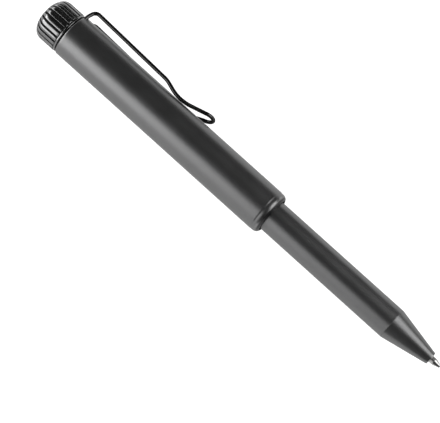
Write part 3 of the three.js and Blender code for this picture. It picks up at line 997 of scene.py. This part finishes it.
cone_stem_end, nose_end, _ = extent("nose_cone")
pen_end = cad_box[1].x
tube_rear, point_base, refill_radius = extent("refill_tube", SMALL_CAD_SIDES)
point_radius = extent("refill_point", SMALL_CAD_SIDES)[2]
cone_seal = seal_size("nose_o_ring")[0]
point_hole = point_radius + SEAL_GAP
refill_hole = refill_radius + THREAD_GAP
cone_thread, cone_relief = thread(cone_stem_end + STEM_CHAMFER, cone_seal - CONE_THREAD_INSET, unit_stem)
cone = turned("nose_cone_turned", [
    (nose_end, point_hole, BREAK_EDGE),
    (nose_end, point_hole + CONE_NOSE_WALL, NOSE_ROUNDING),
    (cone_start, unit_radius, BREAK_EDGE),
    (cone_start, unit_stem, BREAK_EDGE),
    *groove("nose_o_ring", unit_stem),
    *reversed(cone_thread),
    (cone_stem_end, unit_stem - STEM_CHAMFER),
    (cone_stem_end, refill_hole, BREAK_EDGE),
    (point_base + SEAT_GAP, refill_hole),
    (point_base + SEAT_GAP, point_hole),
], satin_black("cone_satin_black", [(nose_end, NOSE_RUB)]), relief=cone_relief)
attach(cone, "nose")
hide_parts("nose_cone")

# Refill
# A thin drawn steel tube with the point pressed into its front end. The point is turned from
# nickel-plated brass, and its rolled lip holds a carbide ball.
REFILL_WALL = 0.000325
POINT_CYLINDER = 0.0013
POINT_SHOULDER = 0.0012
POINT_SHANK = 0.0045
INK_CHANNEL = 0.00025
BALL_RADIUS = 0.0004
BALL_SHOW = 0.00024
LIP_WALL = 0.00008
SOCKET_STEPS = 12
BALL_STEPS = 24
REFILL_SIDES = 96
LINE_SPACING = 0.00006
LINE_ROUGHNESS = 0.4
FILM_SIZE = 0.0015
FILM_PALENESS = 0.1
FILM_ROUGHNESS = 0.3
METAL_LEAST = 0.94
METAL_SMOOTHEST = 0.7
METAL_GRAIN = (0.0001, 0.000001)


def bright_metal(name, level, roughness, warmth=0.0):
    """Bare metal with fine turning lines round it."""
    finish = Finish(name, {"Metallic": 1.0})
    lines = finish.lines(finish.along, LINE_SPACING)
    film = finish.noise(FILM_SIZE, detail=3.0)
    uneven = METAL_SMOOTHEST + lines * LINE_ROUGHNESS + film * FILM_ROUGHNESS
    return finish.done({
        "Base Color": finish.shade(level * (METAL_LEAST + film * FILM_PALENESS), warmth),
        "Roughness": roughness * uneven,
        "Normal": finish.grain(*METAL_GRAIN),
    })


steel = bright_metal("bright_steel", level=0.62, roughness=0.24)
refill_bore = refill_radius - REFILL_WALL
tube = turned("refill_tube_drawn", [
    (point_base, refill_bore, BREAK_EDGE),
    (point_base, refill_radius, BREAK_EDGE),
    (tube_rear, refill_radius, BREAK_EDGE),
    (tube_rear, refill_bore, BREAK_EDGE),
], steel, REFILL_SIDES)
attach(tube, "refill")
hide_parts("refill_tube")


def arc(centre, radius, first, last, steps):
    """Points of an outline about a centre on the axis, at angles from first to last."""
    turns = [first + (last - first) * share for share in shares(steps)]
    return [(centre + radius * math.cos(turn), radius * math.sin(turn)) for turn in turns]


ball_centre = pen_end - BALL_RADIUS
socket_radius = BALL_RADIUS + SEAL_GAP
point_lip = pen_end - BALL_SHOW
lip_reach = math.sqrt(socket_radius ** 2 - (point_lip - ball_centre) ** 2)
channel_turn = math.pi - math.asin(INK_CHANNEL / socket_radius)
lip_turn = math.atan2(lip_reach, point_lip - ball_centre)
shank_radius = refill_bore - SEAL_GAP
point = turned("writing_point", [
    (point_lip, lip_reach + LIP_WALL, LIP_WALL / 3),
    (nose_end + POINT_CYLINDER, point_radius, POINT_SHOULDER),
    (point_base, point_radius, BREAK_EDGE),
    (point_base, shank_radius),
    (point_base - POINT_SHANK, shank_radius, BREAK_EDGE),
    (point_base - POINT_SHANK, INK_CHANNEL),
    *arc(ball_centre, socket_radius, channel_turn, lip_turn, SOCKET_STEPS),
], bright_metal("nickel", level=0.5, roughness=0.26, warmth=0.012), REFILL_SIDES)
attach(point, "refill")
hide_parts("refill_point")

ball = turned("carbide_ball", [
    (ball_centre + BALL_RADIUS, 0),
    *arc(ball_centre, BALL_RADIUS, 0, math.pi, BALL_STEPS)[1:-1],
    (ball_centre - BALL_RADIUS, 0),
], bright_metal("carbide", level=0.5, roughness=0.15), REFILL_SIDES)
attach(ball, "ball")
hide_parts("writing_ball")

# Bush
# A white acetal bush, turned to centre the refill's open end in the tube. Its flange takes the
# thrust of the spring, and its boss keeps the spring round the axis.
BUSH_POCKET = 0.0046
BUSH_FLANGE = 0.0032
BOSS_RADIUS = 0.0015
BUSH_EDGE = 0.00015
ACETAL_LEVEL = 0.82
ACETAL_WARMTH = 0.012
ACETAL_ROUGHNESS = 0.38
ACETAL_CLOUD = 0.002
ACETAL_CLOUD_PALENESS = 0.05
ACETAL_CLOUD_ROUGHNESS = 0.12
ACETAL_GRAIN = (0.0002, 0.000004)


def white_acetal():
    """White plastic with a soft sheen, which lets a little light in."""
    finish = Finish("white_acetal", {"Subsurface Weight": 0.05, "Subsurface Scale": 0.0005})
    cloud = finish.noise(ACETAL_CLOUD)
    level = ACETAL_LEVEL + cloud * ACETAL_CLOUD_PALENESS
    return finish.done({
        "Base Color": finish.shade(level, warmth=ACETAL_WARMTH),
        "Roughness": ACETAL_ROUGHNESS + cloud * ACETAL_CLOUD_ROUGHNESS,
        "Normal": finish.grain(*ACETAL_GRAIN),
    })


boss_end, bush_front, bush_radius = extent("refill_bush", SMALL_CAD_SIDES)
pocket_floor = bush_front - BUSH_POCKET
flange_rear = pocket_floor - BUSH_FLANGE
bush = turned("acetal_bush", [
    (pocket_floor, 0),
    (pocket_floor, refill_hole, BREAK_EDGE),
    (bush_front, refill_hole, BUSH_EDGE),
    (bush_front, bush_radius, BUSH_EDGE),
    (flange_rear, bush_radius, BUSH_EDGE),
    (flange_rear, BOSS_RADIUS, BREAK_EDGE),
    (boss_end, BOSS_RADIUS, BUSH_EDGE),
    (boss_end, 0),
], white_acetal(), REFILL_SIDES)
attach(bush, "refill")
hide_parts("refill_bush")

# Spring
# A short compression spring, an open coil of round steel wire. It stands between the rear plug and
# the bush, and lets the refill give a little.
SPRING_WIRE = 0.00025
SPRING_TURNS = 4
SPRING_STEPS = 28
SPRING_SIDES = 16

spring_rear, spring_front = (corner.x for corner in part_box("refill_spring"))
coil_radius = (BOSS_RADIUS + bush_radius) / 2
coil_start = spring_rear + SPRING_WIRE
coil_end = spring_front - SPRING_WIRE
spring_route = []
for share in shares(SPRING_TURNS * SPRING_STEPS):
    turn = 2 * math.pi * SPRING_TURNS * share
    along = coil_start + (coil_end - coil_start) * share
    spring_route.append(((along, coil_radius * math.cos(turn), coil_radius * math.sin(turn)), 0.0))
spring = grown("coil_spring", wire_mesh("coil_spring", spring_route), bent_wire,
               {"Wire Radius": SPRING_WIRE, "Sides": SPRING_SIDES, "Bend Steps": 1,
                "Material": steel})
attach(spring, "pen_unit")
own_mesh(spring)
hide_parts("refill_spring")

# Floor
# A plain white sheet under the pen, which takes a soft shadow and otherwise shows as the picture's
# white ground.
FLOOR_SIZE = 6.0
PAPER_LEVEL = 0.9
PAPER_ROUGHNESS = 0.9
GROUND_SEEN = 0.75
GROUND_MIRRORED = 0.2


def stage_material(name, surface):
    """A material for what isn't part of the pen. The surface function adds its nodes."""
    material = bpy.data.materials.new(name)
    material.use_nodes = True
    graph = Graph(material.node_tree)
    graph.tree.nodes.remove(graph.tree.nodes["Principled BSDF"])
    graph.feed(graph.tree.nodes["Material Output"], {"Surface": surface(graph)})
    return material


def white_paper(paper):
    """White paper that also shows as white to the camera and in reflections."""
    lit = paper.node("ShaderNodeBsdfPrincipled", {}, {
        "Base Color": (PAPER_LEVEL,) * 3 + (1,), "Roughness": PAPER_ROUGHNESS,
        "Specular IOR Level": 0.0})
    seen = paper.node("ShaderNodeLightPath", output="Is Camera Ray") * GROUND_SEEN
    mirrored = paper.node("ShaderNodeLightPath", output="Is Glossy Ray") * GROUND_MIRRORED
    white = paper.node("ShaderNodeEmission", {}, {"Strength": seen + mirrored})
    return paper.node("ShaderNodeAddShader", {}, [lit, white])


half = FLOOR_SIZE / 2
floor_corners = [(x, y, cad_box[0].z)
                 for x, y in ((-half, -half), (half, -half), (half, half), (-half, half))]
floor_mesh = bpy.data.meshes.new("floor")
floor_mesh.from_pydata(floor_corners, [], [(0, 1, 2, 3)])
floor = plain("floor", floor_mesh, stage_material("white_ground", white_paper))

# Light
# White surroundings, a large soft light on the near side, one in front of the point and a low one
# behind the knob, and dark panels overhead that draw the long dark stripe along the barrel.
# Directions are angles in degrees from straight up: lean towards +Y, then tilt towards +X.
SURROUNDINGS = 0.33
PANEL_DISTANCE = 1.5
PANEL_LEVEL = 0.04
PANEL_STEPS = 24
LIGHT_DISTANCE = 0.6
middle = (cad_box[0] + cad_box[1]) / 2


def towards(lean, tilt):
    lean, tilt = math.radians(lean), math.radians(tilt)
    level = math.cos(tilt)
    return Vector((math.sin(tilt), level * math.sin(lean), level * math.cos(lean)))


def across_from(back):
    """The two directions square to this one, the one nearest to the pen's axis first."""
    along_pen = (Vector((1, 0, 0)) - back * back.x).normalized()
    return along_pen, back.cross(along_pen)


def standing(place, right, up, back):
    """The matrix of a light or camera at this place that looks away from its back."""
    return Matrix.Translation(place) @ Matrix((right, up, back)).transposed().to_4x4()


def dark_grey(panel):
    """An even dark grey that needs no light."""
    return panel.node("ShaderNodeEmission", {}, {"Color": (PANEL_LEVEL,) * 3 + (1,)})


def dark_panel(name, leans, tilts, material):
    """Part of a dome round the pen that only reflections see."""
    places = []
    for down in shares(PANEL_STEPS):
        lean = leans[0] + (leans[1] - leans[0]) * down
        for onward in shares(PANEL_STEPS):
            tilt = tilts[0] + (tilts[1] - tilts[0]) * onward
            places.append(middle + towards(lean, tilt) * PANEL_DISTANCE)
    row = PANEL_STEPS + 1
    corners = [down * row + onward for down in range(PANEL_STEPS) for onward in range(PANEL_STEPS)]
    mesh = bpy.data.meshes.new(name)
    mesh.from_pydata(places, [], [(at, at + 1, at + row + 1, at + row) for at in corners])
    panel = plain(name, mesh, material)
    for rays in ("camera", "diffuse", "transmission", "shadow"):
        setattr(panel, "visible_" + rays, False)


def soft_light(name, lean, tilt, wide, deep, radiance):
    """A rectangular light that faces the pen, wide along it and deep across it, in degrees."""
    lamp = bpy.data.lights.new(name, "AREA")
    lamp.shape = "RECTANGLE"
    lamp.size = 2 * LIGHT_DISTANCE * math.tan(math.radians(wide / 2))
    lamp.size_y = 2 * LIGHT_DISTANCE * math.tan(math.radians(deep / 2))
    lamp.energy = radiance * math.pi * lamp.size * lamp.size_y
    light = added(name, lamp)
    back = towards(lean, tilt)
    light.matrix_world = standing(middle + back * LIGHT_DISTANCE, *across_from(back), back)
    light.visible_camera = False


grey = stage_material("panel_grey", dark_grey)
dark_panel("panel_overhead", leans=(-28, 112), tilts=(-85, 85), material=grey)
dark_panel("panel_near_side", leans=(-100, -28), tilts=(4, 85), material=grey)
soft_light("key_light", lean=-56, tilt=-46, wide=58, deep=42, radiance=2.9)
soft_light("front_light", lean=43, tilt=37, wide=50, deep=42, radiance=2.75)
soft_light("rear_light", lean=32, tilt=-80, wide=18, deep=56, radiance=3.2)

world = bpy.data.worlds.new("white_room")
bpy.context.scene.world = world
world.use_nodes = True
room = Graph(world.node_tree)
mirrored = room.node("ShaderNodeLightPath", output="Is Glossy Ray")
through = room.node("ShaderNodeLightPath", output="Is Transmission Ray")
seen = room.node("ShaderNodeLightPath", output="Is Camera Ray")
shown = room.node("ShaderNodeMath", {"operation": "MAXIMUM"}, [seen, mirrored + through])
strength = room.node("ShaderNodeMapRange", {}, [shown, 0.0, 1.0, SURROUNDINGS, 1.0])
room.feed(room.tree.nodes["Background"], {"Color": (1, 1, 1, 1), "Strength": strength})
bpy.context.scene.view_settings.view_transform = "Standard"

# Camera
# A long lens above the pen's near side, turned so that the pen runs down the picture at 42 degrees.
PICTURE_WIDTH = 440
FOCAL_PIXELS = 2569
SENSOR_MM = 36
NEAREST_SEEN = 0.05
FARTHEST_SEEN = 20
VIEW_DISTANCE = 0.7186
VIEW_SLANT = math.radians(8.2)
VIEW_RISE = math.radians(6.2)
PEN_SLOPE = math.radians(42.07)
VIEW_CENTRE = Vector((0.07545, -0.0089, 0))

back = Vector((math.sin(VIEW_SLANT), -math.cos(VIEW_SLANT) * math.sin(VIEW_RISE),
               math.cos(VIEW_SLANT) * math.cos(VIEW_RISE)))
pen_way, side_way = across_from(back)
right = pen_way * math.cos(PEN_SLOPE) + side_way * math.sin(PEN_SLOPE)
up = side_way * math.cos(PEN_SLOPE) - pen_way * math.sin(PEN_SLOPE)
lens = bpy.data.cameras.new("camera")
lens.sensor_width = SENSOR_MM
lens.lens = SENSOR_MM * FOCAL_PIXELS / PICTURE_WIDTH
lens.clip_start = NEAREST_SEEN
lens.clip_end = FARTHEST_SEEN
camera = added("camera", lens)
camera.matrix_world = standing(VIEW_CENTRE + back * VIEW_DISTANCE, right, up, back)
bpy.context.scene.camera = camera
